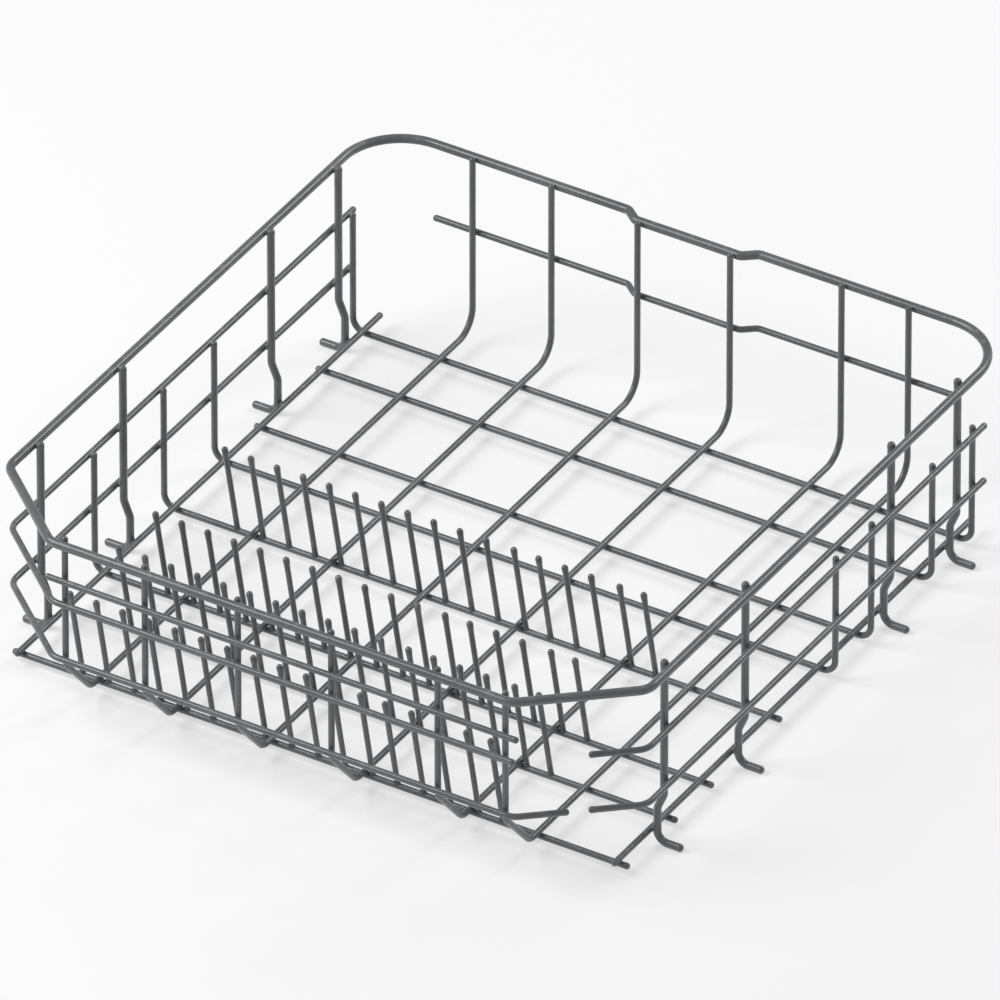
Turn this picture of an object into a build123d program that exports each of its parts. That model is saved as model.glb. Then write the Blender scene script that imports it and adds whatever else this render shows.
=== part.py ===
"""Lower basket of a dishwasher, welded from coated steel wire.

Frame: +X to the right, +Y from the front of the basket to its back, +Z up.
The origin is in the middle of the footprint, at the height of the surface that the axle ends rest on.
All sizes are in millimetres. Places along Y are worked with from the front of the rim.
"""

import os
from math import atan2, cos, radians, sin, tan

from build123d import *

# Wire diameters, with their coat
rim_diameter = 6.5
axle_diameter = 5.5
wire_diameter = 4.5
tine_diameter = 4.0

# Rim in plan, on the wire's centre line
rim_width = 500.0
rim_depth = 536.0
back_corner_radius = 45.0
front_cut_across = 70.0
front_cut_along = 60.0
front_bend_radius = 14.0

# Recess of the back wall
recess_depth = 8.0
recess_slant = 10.0
recess_bend_radius = 6.0
recess_shoulder = 5.0

# Heights below the rim's centre line
upper_hoop_drop = 49.0
lower_hoop_drop = 94.0
back_rail_drop = 60.0
front_rail_drop = 30.0
floor_drop = 137.0

# Long wires that make the back wall, the floor and the front wall
inner_wire_x = 36.5
middle_wire_share = 0.575
middle_wire_shift = 5.0
outer_wire_margin = 8.0
front_slant_depth = 31.0
front_slant_start = 7.0
back_bend_radius = 18.0
slant_bend_radius = 10.0
wire_end_above_centre = 2.0

# Cross wires, and the wires along the floor's sides
cross_bend_radius = 10.0
cross_overhang = 6.0
side_overhang_front = 7.0
side_overhang_back = 18.0
hoop_overhang_back = 8.0
back_rail_length = 408.0
front_rail_overhang = 11.0
front_hoop_overhang = 8.0
right_hoop_corner_run = 38.0
lower_hoop_corner_run = 37.0

# Axle wires: two places from the front of the rim, then two from its back
first_axle_from_front = 90.5
second_axle_from_front = 195.5
third_axle_from_back = 150.0
fourth_axle_from_back = 62.5
axle_drop = 8.0
axle_kink_drop = 106.0
axle_kink_length = 12.0
axle_kink_depth = 5.0
axle_kink_radius = 10.0
axle_bend_radius = 8.0
axle_reach = 18.0

# Plate tines
tine_count = 17
tine_pitch = 20.6
tine_first_x = -186.5
tine_length = 62.0
tine_lean = 9.0
tine_clearance = 0.2

# Cross wires: those with tines from the front of the rim, those of the back bay from its back
first_row_from_front = 50.0
second_row_from_front = 112.0
third_row_from_front = 159.0
fourth_row_from_front = 248.0
first_bay_wire_from_back = 223.0
second_bay_wire_from_back = 176.0
third_bay_wire_from_back = 96.0
fourth_bay_wire_from_back = 43.0

# Cross wires from front to back: place, and the walls that the wire climbs (-1 left, 1 right)
LEFT = -1
RIGHT = 1
cross_wires = [
    (first_row_from_front, ()),
    (second_row_from_front, ()),
    (third_row_from_front, (LEFT,)),
    (fourth_row_from_front, (LEFT,)),
    (rim_depth - first_bay_wire_from_back, (LEFT, RIGHT)),
    (rim_depth - second_bay_wire_from_back, (RIGHT,)),
    (rim_depth - third_bay_wire_from_back, (RIGHT,)),
    (rim_depth - fourth_bay_wire_from_back, (LEFT, RIGHT)),
]
tine_row_count = 4
axle_places = [
    first_axle_from_front,
    second_axle_from_front,
    rim_depth - third_axle_from_back,
    rim_depth - fourth_axle_from_back,
]

# Values worked out from the sizes above
rim_r = rim_diameter / 2
axle_r = axle_diameter / 2
wire_r = wire_diameter / 2
tine_r = tine_diameter / 2
half_width = rim_width / 2
half_depth = rim_depth / 2

axle_z = axle_r
floor_z = axle_z + axle_drop
cross_z = floor_z - wire_diameter
rim_z = floor_z + floor_drop
upper_hoop_z = rim_z - upper_hoop_drop
lower_hoop_z = rim_z - lower_hoop_drop
back_rail_z = rim_z - back_rail_drop
front_rail_z = rim_z - front_rail_drop

thin_inset = rim_r - wire_r
upright_inset = rim_r + wire_r
axle_upper_x = half_width - rim_r - axle_r
axle_lower_x = axle_upper_x - axle_kink_depth
side_wire_x = axle_lower_x - axle_r - wire_r
climb_x = half_width - upright_inset
outer_wire_x = half_width - front_cut_across - outer_wire_margin
middle_wire_x = inner_wire_x + middle_wire_share * (outer_wire_x - inner_wire_x)
recess_half = inner_wire_x + recess_shoulder
front_wire_y = cross_wires[0][0]
back_wire_y = cross_wires[-1][0]


def place_y(from_front):
    """Y in the frame of a place measured from the front of the rim."""
    return from_front - half_depth


def save(piece, name):
    """Label a finished piece and write its file."""
    piece.part.label = name
    export_step(piece.part, f"parts/{name}.step")


def straight_wire(name, start, end, diameter):
    """A straight wire from one point to another."""
    run = Vector(*end) - Vector(*start)
    with BuildPart() as wire:
        with BuildSketch(Plane(origin=start, z_dir=run)):
            Circle(diameter / 2)
        extrude(amount=run.length)
    save(wire, name)


def bent_wire(name, points, radii, diameter, closed=False):
    """A wire through the points, bent at each corner with its radius."""
    with BuildPart() as wire:
        with BuildLine() as route:
            FilletPolyline(*points, radius=radii, close=closed)
        with BuildSketch(Plane(origin=route.wire() @ 0, z_dir=route.wire() % 0)):
            Circle(diameter / 2)
        sweep(path=route.wire())
    save(wire, name)


def front_corners(inset, z):
    """The two corners of the cut-off front left corner, moved inward by inset."""
    side_turn = atan2(front_cut_across, front_cut_along)
    front_turn = atan2(front_cut_along, front_cut_across)
    side_corner = (
        -half_width + inset,
        place_y(front_cut_along + inset * tan(side_turn / 2)),
        z,
    )
    front_corner = (
        -half_width + front_cut_across + inset * tan(front_turn / 2),
        place_y(inset),
        z,
    )
    return side_corner, front_corner


def mirrored(point):
    """The same point on the other side of the basket."""
    return (-point[0], point[1], point[2])


def recess_points(inset, z):
    """The four corners of the back recess, from left to right."""
    back_y = place_y(rim_depth - inset)
    outer = (-recess_half - recess_slant, back_y, z)
    inner = (-recess_half, back_y - recess_depth, z)
    return [outer, inner, mirrored(inner), mirrored(outer)]


def make_rim():
    """The closed rim."""
    side_corner, front_corner = front_corners(0, rim_z)
    back_corner = (-half_width, place_y(rim_depth), rim_z)
    points = [
        side_corner,
        front_corner,
        mirrored(front_corner),
        mirrored(side_corner),
        mirrored(back_corner),
        *reversed(recess_points(0, rim_z)),
        back_corner,
    ]
    radii = [front_bend_radius] * 4
    radii += [back_corner_radius]
    radii += [recess_bend_radius] * 4
    radii += [back_corner_radius]
    bent_wire("rim_wire", points, radii, rim_diameter, closed=True)


def along(start, end, distance):
    """The point at a distance from start, on the way to end."""
    run = Vector(*end) - Vector(*start)
    return Vector(*start) + run.normalized() * distance


def make_left_hoop(name, z, corner_run):
    """A wire along the left wall, round the front left corner and across the front.

    With a corner run, its end turns along the cut-off front right corner.
    """
    side_corner, front_corner = front_corners(thin_inset, z)
    back_end = (side_corner[0], place_y(back_wire_y + hoop_overhang_back), z)
    points = [back_end, side_corner, front_corner]
    if corner_run:
        far_corner = mirrored(front_corner)
        points += [far_corner, along(far_corner, mirrored(side_corner), corner_run)]
    else:
        points += [(outer_wire_x + front_hoop_overhang, front_corner[1], z)]
    bent_wire(name, points, [front_bend_radius] * (len(points) - 2), wire_diameter)


def make_right_hoop(name, z):
    """A wire along the right wall, with a short end turned in along the cut-off corner."""
    side_corner, front_corner = (mirrored(corner) for corner in front_corners(thin_inset, z))
    back_end = (side_corner[0], place_y(back_wire_y + hoop_overhang_back), z)
    turned_in = along(side_corner, front_corner, right_hoop_corner_run)
    bent_wire(name, [back_end, side_corner, turned_in], [front_bend_radius], wire_diameter)


def make_back_rail():
    """The wire across the back wall."""
    corners = recess_points(thin_inset, back_rail_z)
    end = (-back_rail_length / 2, corners[0][1], back_rail_z)
    points = [end, *corners, mirrored(end)]
    bent_wire("back_rail", points, [recess_bend_radius] * 4, wire_diameter)


def make_front_rail():
    """The straight wire across the front wall, under the rim."""
    half = outer_wire_x + front_rail_overhang
    y = place_y(thin_inset)
    straight_wire("front_rail", (-half, y, front_rail_z), (half, y, front_rail_z), wire_diameter)


def make_long_wire(name, x):
    """A wire down the back wall, along the floor and up the front wall."""
    setback = recess_depth if abs(x) < recess_half else 0
    back_y = place_y(rim_depth - upright_inset - setback)
    front_y = place_y(upright_inset)
    top_z = rim_z + wire_end_above_centre
    points = [
        (x, back_y, top_z),
        (x, back_y, floor_z),
        (x, front_y + front_slant_depth, floor_z),
        (x, front_y, lower_hoop_z - front_slant_start),
        (x, front_y, top_z),
    ]
    radii = [back_bend_radius, slant_bend_radius, slant_bend_radius]
    bent_wire(name, points, radii, wire_diameter)


def make_side_floor_wire(name, side):
    """A straight wire along one edge of the floor."""
    x = side * side_wire_x
    start = (x, place_y(front_wire_y - side_overhang_front), floor_z)
    end = (x, place_y(back_wire_y + side_overhang_back), floor_z)
    straight_wire(name, start, end, wire_diameter)


def make_cross_wire(name, from_front, walls):
    """A floor wire from side to side, turned up at the walls that it climbs."""
    y = place_y(from_front)
    top_z = upper_hoop_z + wire_end_above_centre
    floor_end = side_wire_x + cross_overhang
    points = []
    for side in (LEFT, RIGHT):
        if side in walls:
            run = [(side * climb_x, y, top_z), (side * climb_x, y, cross_z)]
        else:
            run = [(side * floor_end, y, cross_z)]
        points += run if side == LEFT else reversed(run)
    if walls:
        bent_wire(name, points, [cross_bend_radius] * len(walls), wire_diameter)
    else:
        straight_wire(name, *points, wire_diameter)


def make_axle_wire(name, side, from_front):
    """An upright from the rim that ends in an axle turned outward below the floor."""
    y = place_y(from_front)
    kink_z = rim_z - axle_kink_drop
    points = [
        (side * axle_upper_x, y, rim_z + wire_end_above_centre),
        (side * axle_upper_x, y, kink_z),
        (side * axle_lower_x, y, kink_z - axle_kink_length),
        (side * axle_lower_x, y, axle_z),
        (side * (axle_lower_x + axle_reach), y, axle_z),
    ]
    radii = [axle_kink_radius, axle_kink_radius, axle_bend_radius]
    bent_wire(name, points, radii, axle_diameter)


long_wire_places = [
    -outer_wire_x,
    -middle_wire_x + middle_wire_shift,
    -inner_wire_x,
    inner_wire_x,
    middle_wire_x + middle_wire_shift,
    outer_wire_x,
]


def clear_of_long_wires(x):
    """The tine's place, moved aside where its foot would run into a long wire."""
    lean_at_wire = (floor_z - cross_z - wire_r) * tan(radians(tine_lean))
    keep_off = tine_r + wire_r + tine_clearance
    for wire_x in long_wire_places:
        offset = x - lean_at_wire - wire_x
        if abs(offset) < keep_off:
            x += keep_off - offset if offset > 0 else -keep_off - offset
    return x


def make_tine():
    """One tine, upright, with its foot at the origin."""
    with BuildPart() as tine:
        Cylinder(tine_r, tine_length, align=(Align.CENTER, Align.CENTER, Align.MIN))
    return tine.part


def make_tine_row(name, tine, from_front):
    """A row of tines on one cross wire, each a solid of its own."""
    lean = radians(tine_lean)
    upward = (-sin(lean), 0, cos(lean))
    foot_z = cross_z + wire_r + tine_r * sin(lean)
    with BuildPart() as row:
        for index in range(tine_count):
            x = clear_of_long_wires(tine_first_x + index * tine_pitch)
            foot = Plane(origin=(x, place_y(from_front), foot_z), z_dir=upward)
            with Locations(foot):
                add(tine)
    save(row, name)


os.makedirs("parts", exist_ok=True)

make_rim()
make_left_hoop("upper_hoop_left", upper_hoop_z, 0)
make_left_hoop("lower_hoop_left", lower_hoop_z, lower_hoop_corner_run)
make_right_hoop("upper_hoop_right", upper_hoop_z)
make_right_hoop("lower_hoop_right", lower_hoop_z)
make_back_rail()
make_front_rail()

for number, wire_x in enumerate(long_wire_places, start=1):
    make_long_wire(f"long_wire_{number}", wire_x)

make_side_floor_wire("side_floor_wire_left", LEFT)
make_side_floor_wire("side_floor_wire_right", RIGHT)

for number, (from_front, walls) in enumerate(cross_wires, start=1):
    make_cross_wire(f"cross_wire_{number}", from_front, walls)

plate_tine = make_tine()
for number, (from_front, walls) in enumerate(cross_wires[:tine_row_count], start=1):
    make_tine_row(f"tine_row_{number}", plate_tine, from_front)

for number, from_front in enumerate(axle_places, start=1):
    make_axle_wire(f"axle_wire_left_{number}", LEFT, from_front)
    make_axle_wire(f"axle_wire_right_{number}", RIGHT, from_front)
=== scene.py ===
# %% [markdown]
# # A dishwasher basket of coated wire
#
# The basket is bent and welded from steel wire and then dipped, so that one plastic coat covers
# every wire, weld and cut end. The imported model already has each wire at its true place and
# thickness, and this lesson keeps it. What the dipping adds is made here: the soft fillets of coat
# at the welds, the drops of coat on the cut ends, and tines with round, slightly thicker tips.

import math

import bmesh
import bpy
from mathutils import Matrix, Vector


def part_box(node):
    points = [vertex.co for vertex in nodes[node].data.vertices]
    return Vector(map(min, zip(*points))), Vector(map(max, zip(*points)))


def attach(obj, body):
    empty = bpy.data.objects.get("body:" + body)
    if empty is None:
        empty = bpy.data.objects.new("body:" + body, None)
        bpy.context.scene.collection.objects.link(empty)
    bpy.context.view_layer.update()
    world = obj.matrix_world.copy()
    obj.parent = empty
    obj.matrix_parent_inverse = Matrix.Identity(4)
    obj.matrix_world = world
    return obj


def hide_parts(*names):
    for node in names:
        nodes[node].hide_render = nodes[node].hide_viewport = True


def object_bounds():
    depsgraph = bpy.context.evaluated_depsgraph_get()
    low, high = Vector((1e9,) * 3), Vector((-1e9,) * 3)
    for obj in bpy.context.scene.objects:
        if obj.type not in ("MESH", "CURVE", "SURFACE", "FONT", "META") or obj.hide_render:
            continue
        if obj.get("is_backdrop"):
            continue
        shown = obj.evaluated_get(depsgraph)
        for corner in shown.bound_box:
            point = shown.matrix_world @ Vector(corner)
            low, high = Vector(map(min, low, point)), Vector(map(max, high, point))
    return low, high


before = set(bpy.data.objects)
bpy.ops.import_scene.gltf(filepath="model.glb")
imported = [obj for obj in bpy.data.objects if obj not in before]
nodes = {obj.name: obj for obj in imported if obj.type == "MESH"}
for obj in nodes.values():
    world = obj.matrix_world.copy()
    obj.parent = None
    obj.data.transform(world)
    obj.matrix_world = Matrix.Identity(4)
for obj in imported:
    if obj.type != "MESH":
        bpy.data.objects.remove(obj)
cad_low, cad_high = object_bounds()
print("wires and rows loaded:", len(nodes))
print("overall size in mm:", [round(side * 1000, 1) for side in cad_high - cad_low])

# %% [markdown]
# ## The coat
#
# The coat is a satin plastic, grey and a little uneven. A flat grey would look like a sketch, so
# four noises share the work. A slow one lets the tone drift along a wire, a fine one gives the
# grain of the dipped plastic, a third makes the gloss uneven, and the last picks out faint rub
# marks where crockery slides. All of them read Object coordinates, which are metres in the basket's
# own frame, so the pattern runs on from one wire to the next.

# %% Helpers for shader nodes
def shader_node(tree, kind, **settings):
    """Add a shader node and set its properties."""
    node = tree.nodes.new(kind)
    for name, value in settings.items():
        setattr(node, name, value)
    return node


def noise(tree, place, scale, detail):
    """A noise in metres, as one grey value."""
    node = shader_node(tree, "ShaderNodeTexNoise")
    node.inputs["Scale"].default_value = scale
    node.inputs["Detail"].default_value = detail
    tree.links.new(place, node.inputs["Vector"])
    return node.outputs["Fac"]


def spread(tree, value, from_range, to_range):
    """Stretch a value from one range to another, and hold it there."""
    node = shader_node(tree, "ShaderNodeMapRange", clamp=True)
    tree.links.new(value, node.inputs["Value"])
    node.inputs["From Min"].default_value, node.inputs["From Max"].default_value = from_range
    node.inputs["To Min"].default_value, node.inputs["To Max"].default_value = to_range
    return node.outputs["Result"]


def pair(tree, operation, first, second):
    """One value worked out from two, such as their product."""
    node = shader_node(tree, "ShaderNodeMath", operation=operation)
    tree.links.new(first, node.inputs[0])
    tree.links.new(second, node.inputs[1])
    return node.outputs[0]


def height_of(tree, vector):
    """The Z of a vector."""
    node = shader_node(tree, "ShaderNodeSeparateXYZ")
    tree.links.new(vector, node.inputs[0])
    return node.outputs["Z"]


print("helpers for the coat ready")

# %% [markdown]
# The tone is the wire's own grey, made a little lighter or darker by the drift and the grain. A
# noise stays mostly between 0.3 and 0.7, and that range is stretched to the change that is wanted.

# %% The coat's grey
COAT_GREY = (0.115, 0.12, 0.126)
NOISE_RANGE = (0.3, 0.7)
DRIFT_SCALE = 16.0
DRIFT_CHANGE = (0.84, 1.16)
GRAIN_CHANGE = (0.92, 1.08)


def coat_tone(tree, place, grain):
    """The grey of the coat, drifting along the wires and speckled by the grain."""
    drift = spread(tree, noise(tree, place, DRIFT_SCALE, detail=2.0), NOISE_RANGE, DRIFT_CHANGE)
    speckle = spread(tree, grain, NOISE_RANGE, GRAIN_CHANGE)
    toned = shader_node(tree, "ShaderNodeVectorMath", operation="SCALE")
    toned.inputs[0].default_value = COAT_GREY
    tree.links.new(pair(tree, "MULTIPLY", drift, speckle), toned.inputs["Scale"])
    return toned.outputs[0]


print("coat's grey:", COAT_GREY)

# %% [markdown]
# Crockery rubs the coat where it faces up, and it rubs the tines near their tips. There the grey
# gets paler in small patches. How far a surface faces up is the Z of its normal, from 0 on the side
# of a wire to 1 on its crest.

# %% Rub marks
RUBBED_GREY = (0.235, 0.24, 0.246, 1.0)
FACING_UP = (0.35, 0.95)
TIP_RUB = 0.7
PATCH_SCALE = 120.0
PATCH_EDGE = (0.54, 0.72)


def rub_marks(tree, place, rub_amount, worn_heights):
    """How much of the coat's skin is rubbed: on top of the wires, and between two heights."""
    normal = shader_node(tree, "ShaderNodeNewGeometry").outputs["Normal"]
    rub = spread(tree, height_of(tree, normal), FACING_UP, (0.0, rub_amount))
    if worn_heights:
        tips = spread(tree, height_of(tree, place), worn_heights, (0.0, TIP_RUB))
        rub = pair(tree, "MAXIMUM", rub, tips)
    patches = spread(tree, noise(tree, place, PATCH_SCALE, detail=4.0), PATCH_EDGE, (0.0, 1.0))
    return pair(tree, "MULTIPLY", rub, patches)


print("rubbed grey:", RUBBED_GREY[:3])

# %% The coat's material
GRAIN_SCALE = 950.0
GRAIN_HEIGHT = 0.0002
GLOSS_SCALE = 60.0
ROUGHNESS = (0.24, 0.38)


def make_coat(name, grain_depth, rub_amount, worn_heights=None):
    """The dipped coat: grey with rub marks, satin, with the grain of the plastic."""
    coat = bpy.data.materials.new(name)
    coat.use_nodes = True
    tree = coat.node_tree
    shader = tree.nodes["Principled BSDF"]
    place = shader_node(tree, "ShaderNodeTexCoord").outputs["Object"]
    grain = noise(tree, place, GRAIN_SCALE, detail=3.0)

    colour = shader_node(tree, "ShaderNodeMix", data_type="RGBA")
    tree.links.new(rub_marks(tree, place, rub_amount, worn_heights), colour.inputs["Factor"])
    tree.links.new(coat_tone(tree, place, grain), colour.inputs["A"])
    colour.inputs["B"].default_value = RUBBED_GREY
    tree.links.new(colour.outputs["Result"], shader.inputs["Base Color"])

    satin = spread(tree, noise(tree, place, GLOSS_SCALE, detail=3.0), NOISE_RANGE, ROUGHNESS)
    tree.links.new(satin, shader.inputs["Roughness"])
    shader.inputs["IOR"].default_value = 1.5
    shader.inputs["Coat Weight"].default_value = 0.25
    shader.inputs["Coat Roughness"].default_value = 0.14

    skin = shader_node(tree, "ShaderNodeBump")
    skin.inputs["Strength"].default_value = grain_depth
    skin.inputs["Distance"].default_value = GRAIN_HEIGHT
    tree.links.new(grain, skin.inputs["Height"])
    tree.links.new(skin.outputs["Normal"], shader.inputs["Normal"])
    return coat


wire_coat = make_coat("wire_coat", grain_depth=0.6, rub_amount=0.7)
tine_coat = make_coat("tine_coat", grain_depth=0.5, rub_amount=0.4, worn_heights=(0.035, 0.066))
for wire in nodes.values():
    wire.data.materials.clear()
    wire.data.materials.append(wire_coat)
print("coats made:", wire_coat.name, tine_coat.name)

# %% [markdown]
# ## Where the wires run
#
# Welds and cut ends sit on the wires, so the lesson first needs to know where each wire runs. A
# wire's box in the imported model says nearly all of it: half the thickness in from a face of the
# box lies the centre line of the stretch that makes that face. What a box can't say is given as a
# number: the wire radii, the back recess, the kink of the axle wires and the cut of the corners.

# %% Straight stretches of the rim
RIM_R = 0.00325
AXLE_R = 0.00275
WIRE_R = 0.00225
RECESS_DEPTH = 0.008

stretches = []


def stretch(wire, start, end, radius):
    """Note one straight stretch of a wire's centre line."""
    stretches.append((wire, Vector(start), Vector(end), radius))


rim_low, rim_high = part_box("rim_wire")
rim_z = (rim_low.z + rim_high.z) / 2
left_x, right_x = rim_low.x + RIM_R, rim_high.x - RIM_R
front_y, back_y = rim_low.y + RIM_R, rim_high.y - RIM_R
for x in (left_x, right_x):
    stretch("rim_wire", (x, front_y, rim_z), (x, back_y, rim_z), RIM_R)
for y in (front_y, back_y, back_y - RECESS_DEPTH):
    stretch("rim_wire", (left_x, y, rim_z), (right_x, y, rim_z), RIM_R)
print("stretches of the rim:", len(stretches))

# %% Stretches of the hoops and rails
HOOPS = ("upper_hoop_left", "lower_hoop_left", "upper_hoop_right", "lower_hoop_right")
RAILS = ("front_rail", "back_rail")

for name in HOOPS:
    low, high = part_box(name)
    z = (low.z + high.z) / 2
    if name.endswith("left"):
        stretch(name, (low.x, low.y + WIRE_R, z), (high.x, low.y + WIRE_R, z), WIRE_R)
        side_x = low.x + WIRE_R
    else:
        side_x = high.x - WIRE_R
    stretch(name, (side_x, low.y, z), (side_x, high.y, z), WIRE_R)

for name in RAILS:
    low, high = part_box(name)
    z = (low.z + high.z) / 2
    places = [high.y - WIRE_R]
    if name == "back_rail":
        places.append(high.y - WIRE_R - RECESS_DEPTH)
    for y in places:
        stretch(name, (low.x, y, z), (high.x, y, z), WIRE_R)
print("stretches with hoops and rails:", len(stretches))

# %% [markdown]
# Some cross wires end on the floor, and others turn up at one side or both and climb the wall. Their
# boxes tell them apart, because a wire that climbs reaches further out.

# %% Stretches of the floor
LONG_WIRES = sorted(name for name in nodes if name.startswith("long_wire"))
CROSS_WIRES = sorted(name for name in nodes if name.startswith("cross_wire"))
SIDE_WIRES = sorted(name for name in nodes if name.startswith("side_floor"))
CLIMB_REACH = 0.243

for name in LONG_WIRES:
    low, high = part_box(name)
    x = (low.x + high.x) / 2
    for y in (low.y + WIRE_R, high.y - WIRE_R):
        stretch(name, (x, y, low.z + WIRE_R), (x, y, high.z), WIRE_R)
    stretch(name, (x, low.y, low.z + WIRE_R), (x, high.y, low.z + WIRE_R), WIRE_R)

for name in CROSS_WIRES:
    low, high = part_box(name)
    y = (low.y + high.y) / 2
    floor_z = low.z + WIRE_R
    stretch(name, (low.x, y, floor_z), (high.x, y, floor_z), WIRE_R)
    for x, outward in ((low.x, -1), (high.x, 1)):
        if abs(x) > CLIMB_REACH:
            climb_x = x - outward * WIRE_R
            stretch(name, (climb_x, y, floor_z), (climb_x, y, high.z), WIRE_R)

for name in SIDE_WIRES:
    low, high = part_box(name)
    x, z = (low.x + high.x) / 2, (low.z + high.z) / 2
    stretch(name, (x, low.y, z), (x, high.y, z), WIRE_R)
print("stretches with the floor:", len(stretches))

# %% Stretches of the axle wires
AXLE_WIRES = sorted(name for name in nodes if name.startswith("axle_wire"))
AXLE_KINK = 0.005
AXLE_KINK_Z = 0.0355

for name in AXLE_WIRES:
    low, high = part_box(name)
    y = (low.y + high.y) / 2
    outward = 1 if low.x > 0 else -1
    lower_x = (low.x if outward > 0 else high.x) + outward * AXLE_R
    upper_x = lower_x + outward * AXLE_KINK
    stretch(name, (lower_x, y, low.z + AXLE_R), (lower_x, y, AXLE_KINK_Z), AXLE_R)
    stretch(name, (upper_x, y, AXLE_KINK_Z), (upper_x, y, high.z), AXLE_R)
print("stretches in all:", len(stretches))

# %% [markdown]
# ## Geometry Nodes in small words
#
# Welds, end drops and tines each repeat dozens of times, which is work for Geometry Nodes: one
# shape is placed on many points, and every point carries what the shape has to know as named
# attributes. These helpers keep the trees short to read. The finished tree is turned into a plain
# mesh, because the exported model can't hold instances.

# %% Helpers that build a tree
def start_tree(name, **sizes):
    """A tree with a geometry in and out, and named inputs for its sizes."""
    tree = bpy.data.node_groups.new(name, "GeometryNodeTree")
    tree.interface.new_socket("Geometry", in_out="INPUT", socket_type="NodeSocketGeometry")
    for label, value in sizes.items():
        kind = "NodeSocketInt" if isinstance(value, int) else "NodeSocketFloat"
        tree.interface.new_socket(label, in_out="INPUT", socket_type=kind)
    tree.interface.new_socket("Geometry", in_out="OUTPUT", socket_type="NodeSocketGeometry")
    return tree, tree.nodes.new("NodeGroupInput"), tree.nodes.new("NodeGroupOutput")


def geo(tree, kind, inputs, **settings):
    """Add a node: a socket given as input is linked, anything else is set as its value."""
    node = tree.nodes.new(kind)
    for name, value in settings.items():
        setattr(node, name, value)
    for key, value in inputs.items():
        if isinstance(value, bpy.types.NodeSocket):
            tree.links.new(value, node.inputs[key])
        else:
            node.inputs[key].default_value = value
    return node


def attribute(tree, name, kind):
    """A named attribute, of kind FLOAT or FLOAT_VECTOR."""
    return geo(tree, "GeometryNodeInputNamedAttribute", {"Name": name}, data_type=kind).outputs[0]


def maths(tree, operation, *values):
    """A number worked out from others."""
    return geo(tree, "ShaderNodeMath", dict(enumerate(values)), operation=operation).outputs[0]


def end_tree(tree, group_out, shape, coat):
    """Close a tree: smooth faces and the coat."""
    smooth = geo(tree, "GeometryNodeSetShadeSmooth", {"Geometry": shape})
    coated = geo(tree, "GeometryNodeSetMaterial", {"Geometry": smooth.outputs[0], "Material": coat})
    tree.links.new(coated.outputs[0], group_out.inputs[0])


print("helpers for trees ready")

# %% Helpers that run a tree
def points_with(name, places, **values):
    """An object of loose points, with named attributes on them."""
    mesh = bpy.data.meshes.new(name)
    mesh.from_pydata([tuple(place) for place in places], [], [])
    for label, items in values.items():
        if isinstance(items[0], Vector):
            layer = mesh.attributes.new(label, "FLOAT_VECTOR", "POINT")
            layer.data.foreach_set("vector", [number for item in items for number in item])
        else:
            layer = mesh.attributes.new(label, "FLOAT", "POINT")
            layer.data.foreach_set("value", items)
    points = bpy.data.objects.new(name, mesh)
    bpy.context.scene.collection.objects.link(points)
    return points


def plain_mesh(points, tree, sizes):
    """The mesh that a tree grows on its points."""
    modifier = points.modifiers.new(tree.name, "NODES")
    modifier.node_group = tree
    for item in tree.interface.items_tree:
        if item.in_out == "INPUT" and item.name in sizes:
            modifier[item.identifier] = sizes[item.name]
    bpy.context.view_layer.update()
    graph = bpy.context.evaluated_depsgraph_get()
    grown = bpy.data.meshes.new_from_object(points.evaluated_get(graph))
    points.modifiers.remove(modifier)
    return grown


def grow(points, tree, coat, leftovers, **sizes):
    """Turn points into their finished piece, drop the leftover layers and let it ride."""
    grown = plain_mesh(points, tree, sizes)
    grown.name = points.name
    for label in leftovers:
        if label in grown.attributes:
            grown.attributes.remove(grown.attributes[label])
    grown.materials.clear()
    grown.materials.append(coat)
    points.data = grown
    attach(points, "root")
    print(points.name, "has", len(grown.polygons), "faces")


print("helpers for pieces ready")

# %% [markdown]
# ## Fillets of coat at the welds
#
# Two crossing wires touch in a single point, and the dipped coat fills the crevice round it with a
# small saddle. A ball at each crossing would look like solder, so the saddle is worked out: round
# the contact point, a curve runs from the surface of one wire to the surface of the other and dips
# in between. Each saddle starts as a small sphere, which is closed and faces outward, and its rings
# are moved onto that curve. The sphere's two poles are sunk inside the wires.
#
# First the welds have to be found. Two stretches are welded when they cross at right angles and
# their centre lines are as far apart as the two radii together. The coat runs out along each wire
# by about one and a half radii, or less where the wire ends sooner.

# %% Find the welds
RIGHT_ANGLE = 0.99
TOUCH = 0.00015
WELD_REACH = 1.6


def crossing(first, second):
    """The weld of two stretches at right angles, or None if they don't touch."""
    wire_a, start_a, end_a, radius_a = first
    wire_b, start_b, end_b, radius_b = second
    along_a = (end_a - start_a).normalized()
    along_b = (end_b - start_b).normalized()
    away = along_a.cross(along_b)
    if wire_a == wire_b or away.length < RIGHT_ANGLE:
        return None
    offset = start_b - start_a
    apart = offset.dot(away)
    if abs(abs(apart) - radius_a - radius_b) > TOUCH:
        return None
    reach_a, reach_b = offset.dot(along_a), -offset.dot(along_b)
    room_a = min(reach_a, (end_a - start_a).length - reach_a)
    room_b = min(reach_b, (end_b - start_b).length - reach_b)
    if min(room_a, room_b) < 0:
        return None
    away = away if apart > 0 else -away
    usual = WELD_REACH * (radius_a + radius_b) / 2
    return {
        "place": start_a + along_a * reach_a + away * radius_a,
        "along": along_a,
        "away": away,
        "lower_r": radius_a,
        "upper_r": radius_b,
        "lower_reach": min(usual, room_a),
        "upper_reach": min(usual, room_b),
    }


welds = []
for number, first in enumerate(stretches):
    for second in stretches[number + 1:]:
        weld = crossing(first, second)
        if weld:
            welds.append(weld)
print("welds found:", len(welds))

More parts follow.
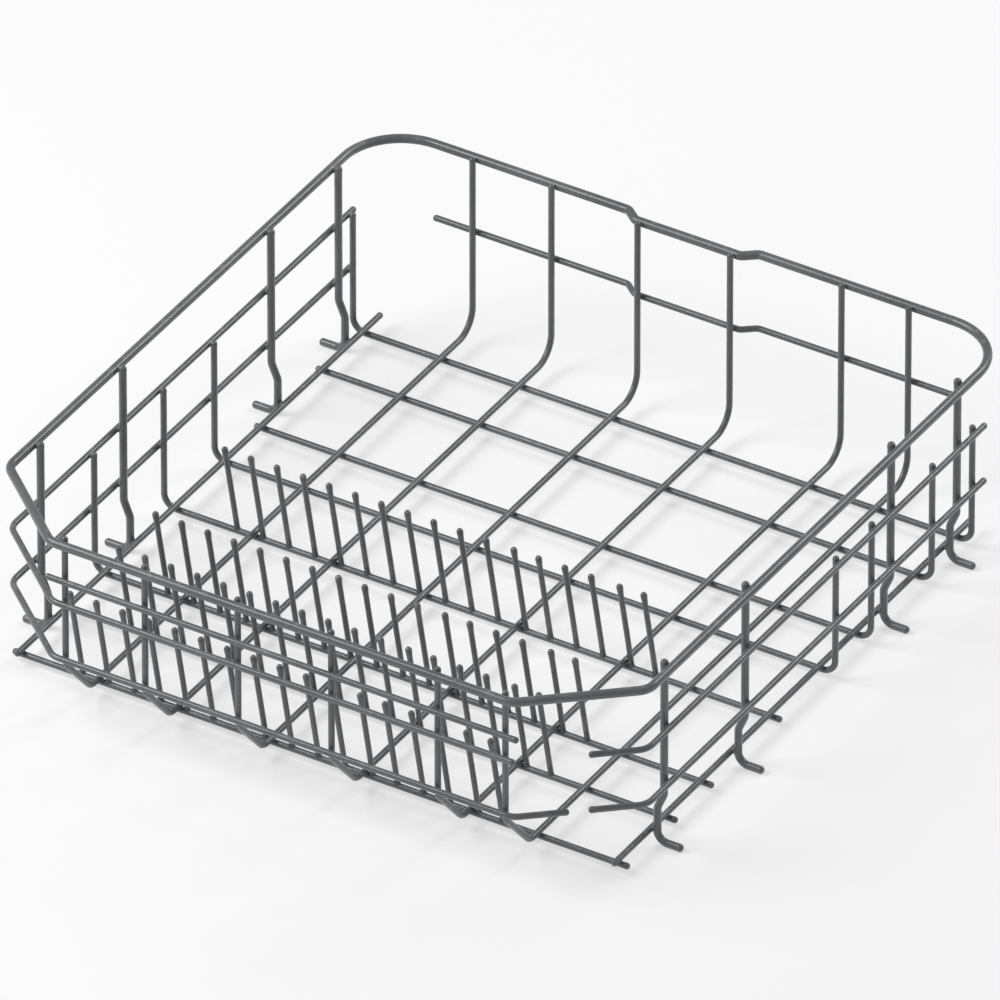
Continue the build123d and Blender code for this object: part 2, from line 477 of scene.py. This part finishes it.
# %% [markdown]
# The tree takes the sizes that all saddles share as named inputs. Segments and Rings divide the
# sphere, Sink is how deep the coat's edge lies in the wire, Width is the saddle's share of the
# wire's width, and Waist is how far in the curve dips, as a share of the two radii. What differs
# from weld to weld comes from the points.

# %% A small sphere on every weld
FILLET_SIZES = {"Segments": 12, "Rings": 6, "Sink": 0.00008, "Width": 0.95, "Waist": 0.25}


def remember(tree, shape, name, value):
    """Store a vector on the points of a shape, under a name."""
    inputs = {"Geometry": shape, "Name": name, "Value": value}
    return geo(tree, "GeometryNodeStoreNamedAttribute", inputs, data_type="FLOAT_VECTOR").outputs[0]


def spheres_on_points(tree, inside):
    """Spheres whose corners know their place on the sphere and the weld they belong to."""
    sphere = geo(tree, "GeometryNodeMeshUVSphere", {
        "Segments": inside.outputs["Segments"],
        "Rings": inside.outputs["Rings"],
        "Radius": 1.0,
    })
    spot = tree.nodes.new("GeometryNodeInputPosition").outputs[0]
    shaped = remember(tree, sphere.outputs["Mesh"], "local", spot)
    points = remember(tree, inside.outputs["Geometry"], "centre", spot)
    placed = geo(tree, "GeometryNodeInstanceOnPoints", {"Points": points, "Instance": shaped})
    return geo(tree, "GeometryNodeRealizeInstances", {"Geometry": placed.outputs[0]}).outputs[0]


def read_sphere(tree):
    """A corner's turn round the sphere's axis, and its level from -1 to 1 between the poles."""
    local = attribute(tree, "local", "FLOAT_VECTOR")
    x, y, z = geo(tree, "ShaderNodeSeparateXYZ", {0: local}).outputs
    ring_r = maths(tree, "SQRT", maths(tree, "SUBTRACT", 1.0, maths(tree, "MULTIPLY", z, z)))
    turn_cos = maths(tree, "DIVIDE", x, ring_r)
    turn_sin = maths(tree, "DIVIDE", y, ring_r)
    level = maths(tree, "DIVIDE", maths(tree, "ARCSINE", z), math.pi / 2)
    return turn_cos, turn_sin, level


print("faces of one sphere:", FILLET_SIZES["Segments"] * FILLET_SIZES["Rings"])

# %% [markdown]
# Seen along the line from wire to wire, a saddle is an oval on each wire, long along the wire and
# nearly as wide as the wire across it. Its edge is sunk a hair into the wire, so that no gap shows.

# %% Where a saddle meets a wire
def meeting_line(tree, inside, radius, reach_name, across):
    """How far out the saddle meets a wire, and how deep below the wire's crest that is."""
    reach = attribute(tree, reach_name, "FLOAT")
    lengthwise = maths(tree, "POWER", reach, -2.0)
    widest = maths(tree, "MULTIPLY", radius, inside.outputs["Width"])
    sideways = maths(tree, "POWER", maths(tree, "DIVIDE", across, widest), 2.0)
    out = maths(tree, "INVERSE_SQRT", maths(tree, "ADD", lengthwise, sideways))
    beside = maths(tree, "POWER", maths(tree, "MULTIPLY", out, across), 2.0)
    square = maths(tree, "SUBTRACT", maths(tree, "MULTIPLY", radius, radius), beside)
    return out, maths(tree, "SUBTRACT", radius, maths(tree, "SQRT", square))


def curve_ends(tree, inside, turn_cos, turn_sin, upright):
    """The curve's lower end, its waist and its upper end, as distances out and heights."""
    sink = inside.outputs["Sink"]
    lower_r = attribute(tree, "lower_r", "FLOAT")
    upper_r = attribute(tree, "upper_r", "FLOAT")
    lower_out, lower_depth = meeting_line(tree, inside, lower_r, "lower_reach", turn_sin)
    lower_z = maths(tree, "SUBTRACT", maths(tree, "MULTIPLY", lower_depth, -1.0), sink)
    if upright:
        upper_out = maths(tree, "SUBTRACT", upper_r, sink)
        upper_z = attribute(tree, "upper_reach", "FLOAT")
        waist = upper_out
    else:
        upper_out, upper_depth = meeting_line(tree, inside, upper_r, "upper_reach", turn_cos)
        upper_z = maths(tree, "ADD", upper_depth, sink)
        radii = maths(tree, "ADD", lower_r, upper_r)
        waist = maths(tree, "MULTIPLY", radii, inside.outputs["Waist"])
    return (lower_out, lower_z), waist, (upper_out, upper_z)


print("coat sunk into the wires, in mm:", FILLET_SIZES["Sink"] * 1000)

# %% [markdown]
# The curve has a lower end, an upper end and a waist that pulls it in between them, like a curve
# drawn with one handle. The sphere's rings are spread evenly over it, from one end to the other. The
# two poles lie beyond the rings and are drawn to the middle, a good way inside each wire.

# %% The saddle's curve
TOP_RING = 1 - 2 / FILLET_SIZES["Rings"]
BELOW_POLES = 0.9
POLE_DEPTH = 0.6


def saddle(tree, level, lower, waist, upper):
    """Distance out and height of a corner, on a curve that dips to the waist between its ends."""
    step = geo(tree, "ShaderNodeMapRange", {0: level, 1: -TOP_RING, 2: TOP_RING}).outputs[0]
    back = maths(tree, "SUBTRACT", 1.0, step)
    lower_part = maths(tree, "MULTIPLY", back, back)
    upper_part = maths(tree, "MULTIPLY", step, step)
    waist_part = maths(tree, "MULTIPLY", maths(tree, "MULTIPLY", step, back), 2.0)

    upper_share = maths(tree, "MULTIPLY", upper_part, upper[0])
    out = maths(tree, "MULTIPLY_ADD", lower_part, lower[0], upper_share)
    out = maths(tree, "MULTIPLY_ADD", waist_part, waist, out)
    upper_share = maths(tree, "MULTIPLY", upper_part, upper[1])
    height = maths(tree, "MULTIPLY_ADD", lower_part, lower[1], upper_share)

    on_ring = maths(tree, "LESS_THAN", maths(tree, "ABSOLUTE", level), BELOW_POLES)
    pole = maths(tree, "MULTIPLY", level, POLE_DEPTH)
    pole = maths(tree, "MULTIPLY", pole, attribute(tree, "lower_r", "FLOAT"))
    choice = {"Switch": on_ring, "False": pole, "True": height}
    height = geo(tree, "GeometryNodeSwitch", choice, input_type="FLOAT").outputs[0]
    return maths(tree, "MULTIPLY", out, on_ring), height


print("rings on the curve:", FILLET_SIZES["Rings"] - 1)

# %% A tree that shapes the fillets
def moved_along(tree, place, direction, distance):
    """A place moved along a direction."""
    part = geo(tree, "ShaderNodeVectorMath", {0: direction, "Scale": distance}, operation="SCALE")
    inputs = {0: place, 1: part.outputs[0]}
    return geo(tree, "ShaderNodeVectorMath", inputs, operation="ADD").outputs[0]


def fillet_tree(name, coat, upright):
    """Saddles of coat where a wire lies across another, or where an upright stands on it."""
    tree, inside, outside = start_tree(name, **FILLET_SIZES)
    spheres = spheres_on_points(tree, inside)
    turn_cos, turn_sin, level = read_sphere(tree)
    out, height = saddle(tree, level, *curve_ends(tree, inside, turn_cos, turn_sin, upright))

    along = attribute(tree, "along", "FLOAT_VECTOR")
    away = attribute(tree, "away", "FLOAT_VECTOR")
    axes = {0: away, 1: along}
    beside = geo(tree, "ShaderNodeVectorMath", axes, operation="CROSS_PRODUCT").outputs[0]
    place = attribute(tree, "centre", "FLOAT_VECTOR")
    place = moved_along(tree, place, along, maths(tree, "MULTIPLY", out, turn_cos))
    place = moved_along(tree, place, beside, maths(tree, "MULTIPLY", out, turn_sin))
    place = moved_along(tree, place, away, height)
    moved = geo(tree, "GeometryNodeSetPosition", {"Geometry": spheres, "Position": place})
    end_tree(tree, outside, moved.outputs[0], coat)
    return tree


weld_tree = fillet_tree("fillets_at_welds", wire_coat, upright=False)
print("nodes in the tree:", len(weld_tree.nodes))

# %% Put a fillet on every weld
WELD_FACTS = ("along", "away", "lower_r", "upper_r", "lower_reach", "upper_reach")
FILLET_LEFTOVERS = ("local", "centre", *WELD_FACTS)

weld_points = points_with(
    "weld_fillets",
    [weld["place"] for weld in welds],
    **{fact: [weld[fact] for weld in welds] for fact in WELD_FACTS},
)
grow(weld_points, weld_tree, wire_coat, FILLET_LEFTOVERS, **FILLET_SIZES)

# %% [markdown]
# ## Drops of coat on the cut ends
#
# A dipped wire never shows a sharp cut: the coat draws back over it and hardens as a rounded drop,
# a hair thicker than the wire. The drop is turned like a piece on a lathe, from a short list of
# radii and heights in units of the wire's radius, and the tree stands it on every wire end,
# turned the way the wire points and scaled to the wire.

# %% A small lathe
SIDES = 14


def turned_mesh(name, stations):
    """A closed mesh turned about Z from (radius, height) stations, with a point at either end."""
    shape = bmesh.new()
    rings = []
    for radius, height in stations[1:-1]:
        ring = []
        for side in range(SIDES):
            angle = 2 * math.pi * side / SIDES
            spot = (radius * math.cos(angle), radius * math.sin(angle), height)
            ring.append(shape.verts.new(spot))
        rings.append(ring)
    bottom = shape.verts.new((0, 0, stations[0][1]))
    top = shape.verts.new((0, 0, stations[-1][1]))
    for side in range(SIDES):
        after = (side + 1) % SIDES
        shape.faces.new((bottom, rings[0][after], rings[0][side]))
        shape.faces.new((top, rings[-1][side], rings[-1][after]))
        for lower, upper in zip(rings, rings[1:]):
            shape.faces.new((lower[side], lower[after], upper[after], upper[side]))
    mesh = bpy.data.meshes.new(name)
    shape.to_mesh(mesh)
    shape.free()
    return bpy.data.objects.new(name, mesh)


print("sides of a turned piece:", SIDES)

# %% Turn one drop
WIDEST = 1.06
DROP_STATIONS = [
    (0.0, -1.5),
    (0.97, -1.5),
    (1.03, -0.9),
    (WIDEST, -0.3),
    (1.02, 0.1),
    (0.86, 0.42),
    (0.56, 0.66),
    (0.0, 0.78),
]
drop = turned_mesh("end_drop", DROP_STATIONS)
print("faces of one drop:", len(drop.data.polygons))

# %% A tree that stands a turned piece on its points
STANDING_FACTS = ("direction", "radius")


def standing_tree(name, pattern, coat):
    """Stand a turned pattern on every point, along its direction and at its scale."""
    tree, inside, outside = start_tree(name)
    shape = geo(tree, "GeometryNodeObjectInfo", {"Object": pattern})
    direction = {"Vector": attribute(tree, "direction", "FLOAT_VECTOR")}
    turned = geo(tree, "FunctionNodeAlignRotationToVector", direction, axis="Z")
    placed = geo(tree, "GeometryNodeInstanceOnPoints", {
        "Points": inside.outputs["Geometry"],
        "Instance": shape.outputs["Geometry"],
        "Rotation": turned.outputs[0],
        "Scale": attribute(tree, "radius", "FLOAT"),
    })
    pieces = geo(tree, "GeometryNodeRealizeInstances", {"Geometry": placed.outputs[0]})
    end_tree(tree, outside, pieces.outputs[0], coat)
    return tree


drop_tree = standing_tree("drops_on_ends", drop, wire_coat)
print("nodes in the tree:", len(drop_tree.nodes))

# %% [markdown]
# The boxes of the wires also tell where the ends are. The axle ends get a drop that is no thicker
# than the wire, so that a roller still slides on.

# %% Ends of the uprights and floor wires
ends = []


def wire_end(place, direction, radius):
    """Note one cut end of a wire."""
    ends.append((Vector(place), Vector(direction).normalized(), radius))


for name in LONG_WIRES:
    low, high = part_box(name)
    for y in (low.y + WIRE_R, high.y - WIRE_R):
        wire_end(((low.x + high.x) / 2, y, high.z), (0, 0, 1), WIRE_R)

for name in SIDE_WIRES:
    low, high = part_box(name)
    x, z = (low.x + high.x) / 2, (low.z + high.z) / 2
    wire_end((x, low.y, z), (0, -1, 0), WIRE_R)
    wire_end((x, high.y, z), (0, 1, 0), WIRE_R)

for name in CROSS_WIRES:
    low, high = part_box(name)
    y = (low.y + high.y) / 2
    for x, outward in ((low.x, -1), (high.x, 1)):
        if abs(x) > CLIMB_REACH:
            wire_end((x - outward * WIRE_R, y, high.z), (0, 0, 1), WIRE_R)
        else:
            wire_end((x, y, low.z + WIRE_R), (outward, 0, 0), WIRE_R)

for name in AXLE_WIRES:
    low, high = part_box(name)
    y = (low.y + high.y) / 2
    outward = 1 if low.x > 0 else -1
    inner_x, outer_x = (low.x, high.x) if outward > 0 else (high.x, low.x)
    wire_end((inner_x + outward * (AXLE_R + AXLE_KINK), y, high.z), (0, 0, 1), AXLE_R)
    wire_end((outer_x, y, low.z + AXLE_R), (outward, 0, 0), AXLE_R / WIDEST)
print("ends of uprights and floor wires:", len(ends))

# %% [markdown]
# Three hoops end in a slant, along the cut of a front corner. No face of a box shows where such a
# wire ends, so the end is read from the mesh: a thin slab at the tip of the wire holds only the
# corners of its end face, and their middle is the end of the centre line.

# %% Ends of the hoops and rails
CORNER_CUT = Vector((0.07, 0.06, 0.0)).normalized()
SPARE = 0.0001
END_SLAB = 2 * WIRE_R * CORNER_CUT.y + SPARE


def middle_of(corners):
    """The middle of the box round some corners."""
    lows = [min(values) for values in zip(*corners)]
    highs = [max(values) for values in zip(*corners)]
    return (Vector(lows) + Vector(highs)) / 2


def slanted_end(name, from_x, to_x):
    """The middle of a slanted wire's end, the only corners between two values of X."""
    corners = [corner.co for corner in nodes[name].data.vertices]
    return middle_of([corner for corner in corners if from_x < corner.x < to_x])


for name in HOOPS:
    low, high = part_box(name)
    z = (low.z + high.z) / 2
    side_x = low.x + WIRE_R if name.endswith("left") else high.x - WIRE_R
    wire_end((side_x, high.y, z), (0, 1, 0), WIRE_R)
    if name.endswith("right"):
        wire_end(slanted_end(name, low.x - WIRE_R, low.x + END_SLAB), -CORNER_CUT, WIRE_R)
    elif name.startswith("lower"):
        wire_end(slanted_end(name, high.x - END_SLAB, high.x + WIRE_R), CORNER_CUT, WIRE_R)
    else:
        wire_end((high.x, low.y + WIRE_R, z), (1, 0, 0), WIRE_R)

for name in RAILS:
    low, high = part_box(name)
    z = (low.z + high.z) / 2
    wire_end((low.x, high.y - WIRE_R, z), (-1, 0, 0), WIRE_R)
    wire_end((high.x, high.y - WIRE_R, z), (1, 0, 0), WIRE_R)
print("wire ends in all:", len(ends))

# %% Put a drop on every end
drop_points = points_with(
    "end_drops",
    [place for place, direction, radius in ends],
    direction=[direction for place, direction, radius in ends],
    radius=[radius for place, direction, radius in ends],
)
grow(drop_points, drop_tree, wire_coat, STANDING_FACTS)

# %% [markdown]
# ## Plate tines
#
# The tines are the part of the basket that plates lean on, so their tips are round and a little
# thicker, where the coat ran together as the basket was dipped upside down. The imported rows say
# where each tine stands: the corners of its lower end give the foot and those of its upper end the
# tip. One tine is turned on the lathe, in metres, and stands on every foot of a row. At its foot the
# same saddle of coat as at the welds runs out along the cross wire.

# %% Read the feet and the tips from a row
TINE_R = 0.002
TINE_ROWS = sorted(name for name in nodes if name.startswith("tine_row"))
BETWEEN_TINES = 0.008


def middles(corners):
    """The middle of each cluster of corners along X."""
    corners = sorted(corners, key=lambda corner: corner.x)
    clusters = [[corners[0]]]
    for corner in corners[1:]:
        if corner.x - clusters[-1][-1].x > BETWEEN_TINES:
            clusters.append([])
        clusters[-1].append(corner)
    return [middle_of(cluster) for cluster in clusters]


def feet_and_tips(name):
    """The two ends of each tine's centre line in a packed row."""
    low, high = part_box(name)
    corners = [corner.co for corner in nodes[name].data.vertices]
    feet = middles([corner for corner in corners if corner.z < low.z + TINE_R])
    tips = middles([corner for corner in corners if corner.z > high.z - TINE_R])
    return feet, tips


feet, tips = feet_and_tips(TINE_ROWS[0])
tine_length = (tips[0] - feet[0]).length
lean = (tips[0] - feet[0]).normalized()
print("tines in a row:", len(feet), "length in mm:", round(tine_length * 1000, 2))

# %% Turn one tine and stand the rows
TINE_STATIONS = [
    (0.0, -0.0008),
    (TINE_R, -0.0008),
    (TINE_R, 0.02),
    (TINE_R, 0.04),
    (TINE_R, tine_length - 0.0075),
    (TINE_R + 0.0001, tine_length - 0.005),
    (TINE_R + 0.0003, tine_length - 0.003),
    (TINE_R + 0.0004, tine_length - 0.0015),
    (TINE_R + 0.0003, tine_length - 0.0003),
    (TINE_R - 0.0002, tine_length + 0.0006),
    (TINE_R - 0.0009, tine_length + 0.0012),
    (0.0, tine_length + 0.0014),
]
tine = turned_mesh("tine", TINE_STATIONS)
tine_tree = standing_tree("tines_in_a_row", tine, tine_coat)

all_feet = []
for number, name in enumerate(TINE_ROWS, start=1):
    feet, tips = feet_and_tips(name)
    all_feet += feet
    row_points = points_with(
        f"plate_tines_{number}",
        feet,
        direction=[(tip - foot).normalized() for foot, tip in zip(feet, tips)],
        radius=[1.0] * len(feet),
    )
    grow(row_points, tine_tree, tine_coat, STANDING_FACTS)
    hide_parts(name)
print("tines standing:", len(all_feet))

# %% Fillets at the feet of the tines
FOOT_REACH = 0.0034
FOOT_HEIGHT = 0.0024

crest_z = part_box(CROSS_WIRES[0])[0].z + 2 * WIRE_R
skew = Vector((lean.x / lean.z, 0.0, 1.0))
foot_points = points_with(
    "tine_fillets",
    [foot + skew * (crest_z - foot.z) for foot in all_feet],
    along=[Vector((1, 0, 0))] * len(all_feet),
    away=[skew] * len(all_feet),
    lower_r=[WIRE_R] * len(all_feet),
    upper_r=[TINE_R] * len(all_feet),
    lower_reach=[FOOT_REACH] * len(all_feet),
    upper_reach=[FOOT_HEIGHT] * len(all_feet),
)
foot_tree = fillet_tree("fillets_at_feet", tine_coat, upright=True)
grow(foot_points, foot_tree, tine_coat, FILLET_LEFTOVERS, **FILLET_SIZES)

# %% [markdown]
# ## Floor and light
#
# The basket stands on a plain pale floor. A round wire only looks round when a line of gloss runs
# along it, and a lamp draws that line on wires that lie across the way from the lamp to the eye.
# So there are two: a wide lamp at the front left for the wires from side to side, and a smaller one
# behind for those from front to back. An even sky keeps the shadows of the thin wires faint.
#
# Away from the lamps the floor would turn grey. What the eye sees of it, straight or as a
# reflection, is therefore half its own lit paint and half plain white. The light that the floor
# throws back onto the basket is left as it is.

# %% Floor
FLOOR_SIDE = 60.0
WHITE = (1.0, 1.0, 1.0, 1.0)
SEEN_WHITE = 0.5

bpy.ops.mesh.primitive_plane_add(size=FLOOR_SIDE, location=(0, 0, 0))
floor = bpy.context.object
floor.name = "floor"
floor_paint = bpy.data.materials.new("floor_paint")
floor_paint.use_nodes = True
floor_tree = floor_paint.node_tree
floor_shader = floor_tree.nodes["Principled BSDF"]
floor_shader.inputs["Base Color"].default_value = (0.95, 0.95, 0.95, 1.0)
floor_shader.inputs["Roughness"].default_value = 0.9
white = shader_node(floor_tree, "ShaderNodeEmission")
white.inputs["Color"].default_value = WHITE
white.inputs["Strength"].default_value = 1.0

rays = shader_node(floor_tree, "ShaderNodeLightPath").outputs
seen = pair(floor_tree, "MAXIMUM", rays["Is Camera Ray"], rays["Is Glossy Ray"])
seen = pair(floor_tree, "MAXIMUM", seen, rays["Is Transmission Ray"])
half_white = shader_node(floor_tree, "ShaderNodeMixShader")
share = spread(floor_tree, seen, (0.0, 1.0), (0.0, SEEN_WHITE))
floor_tree.links.new(share, half_white.inputs[0])
floor_tree.links.new(floor_shader.outputs[0], half_white.inputs[1])
floor_tree.links.new(white.outputs[0], half_white.inputs[2])
floor_tree.links.new(half_white.outputs[0], floor_tree.nodes["Material Output"].inputs["Surface"])
floor.data.materials.append(floor_paint)
floor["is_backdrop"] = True
print("floor laid")

# %% Light
def add_lamp(name, place, side, power):
    """A square lamp that points at the basket."""
    lamp = bpy.data.lights.new(name, "AREA")
    lamp.size = side
    lamp.energy = power
    holder = bpy.data.objects.new(name, lamp)
    holder.location = place
    to_basket = Vector((0, 0, rim_z / 2)) - Vector(place)
    holder.rotation_euler = to_basket.to_track_quat("-Z", "Y").to_euler()
    bpy.context.scene.collection.objects.link(holder)


add_lamp("wide_lamp", place=(-1.7, -1.1, 2.1), side=1.5, power=56.0)
add_lamp("back_lamp", place=(0.9, 2.0, 1.7), side=1.1, power=22.0)
sky = bpy.data.worlds.new("sky")
sky.use_nodes = True
backdrop = sky.node_tree.nodes["Background"]
backdrop.inputs["Color"].default_value = WHITE
backdrop.inputs["Strength"].default_value = 0.36
bpy.context.scene.world = sky
bpy.context.scene.view_settings.view_transform = "Standard"
print("lamps:", len(bpy.data.lights))

# %% [markdown]
# ## Camera
#
# The picture is drawn with parallel lines, which a camera with a very long lens comes close to. It
# looks at the point that lies in the middle of the picture, a little right of the rim's middle and
# below it.

# %% Camera
AZIMUTH = math.radians(31.2)
ELEVATION = math.radians(34.9)
PICTURE_WIDTH = 0.671
MIDDLE_RIGHT_OF_RIM = 0.0075
MIDDLE_BELOW_RIM = 0.05
LENS = 1200.0

camera = bpy.data.cameras.new("camera")
camera.lens = LENS
camera.sensor_width = 36.0
camera.clip_end = 200.0
camera_object = bpy.data.objects.new("camera", camera)
backward = Vector((
    math.sin(AZIMUTH) * math.cos(ELEVATION),
    -math.cos(AZIMUTH) * math.cos(ELEVATION),
    math.sin(ELEVATION),
))
to_right = Vector((math.cos(AZIMUTH), math.sin(AZIMUTH), 0.0))
to_top = backward.cross(to_right)
middle = Vector((0, 0, rim_z)) + to_right * MIDDLE_RIGHT_OF_RIM - to_top * MIDDLE_BELOW_RIM
camera_object.location = middle + backward * PICTURE_WIDTH * LENS / camera.sensor_width
camera_object.rotation_euler = (-backward).to_track_quat("-Z", "Y").to_euler()
bpy.context.scene.collection.objects.link(camera_object)
bpy.context.scene.camera = camera_object
print("camera distance in m:", round((camera_object.location - middle).length, 2))

# %% [markdown]
# ## Measure and finish
#
# The dressed basket has to stay as large as the imported one, so its box is measured like the
# imported one's, and how far it has grown on each side is printed.

# %% Write the sizes and finish
low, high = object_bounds()
grown_mm = [round(value * 1000, 2) for value in (*(cad_low - low), *(high - cad_high))]
print("grown in mm:", grown_mm)
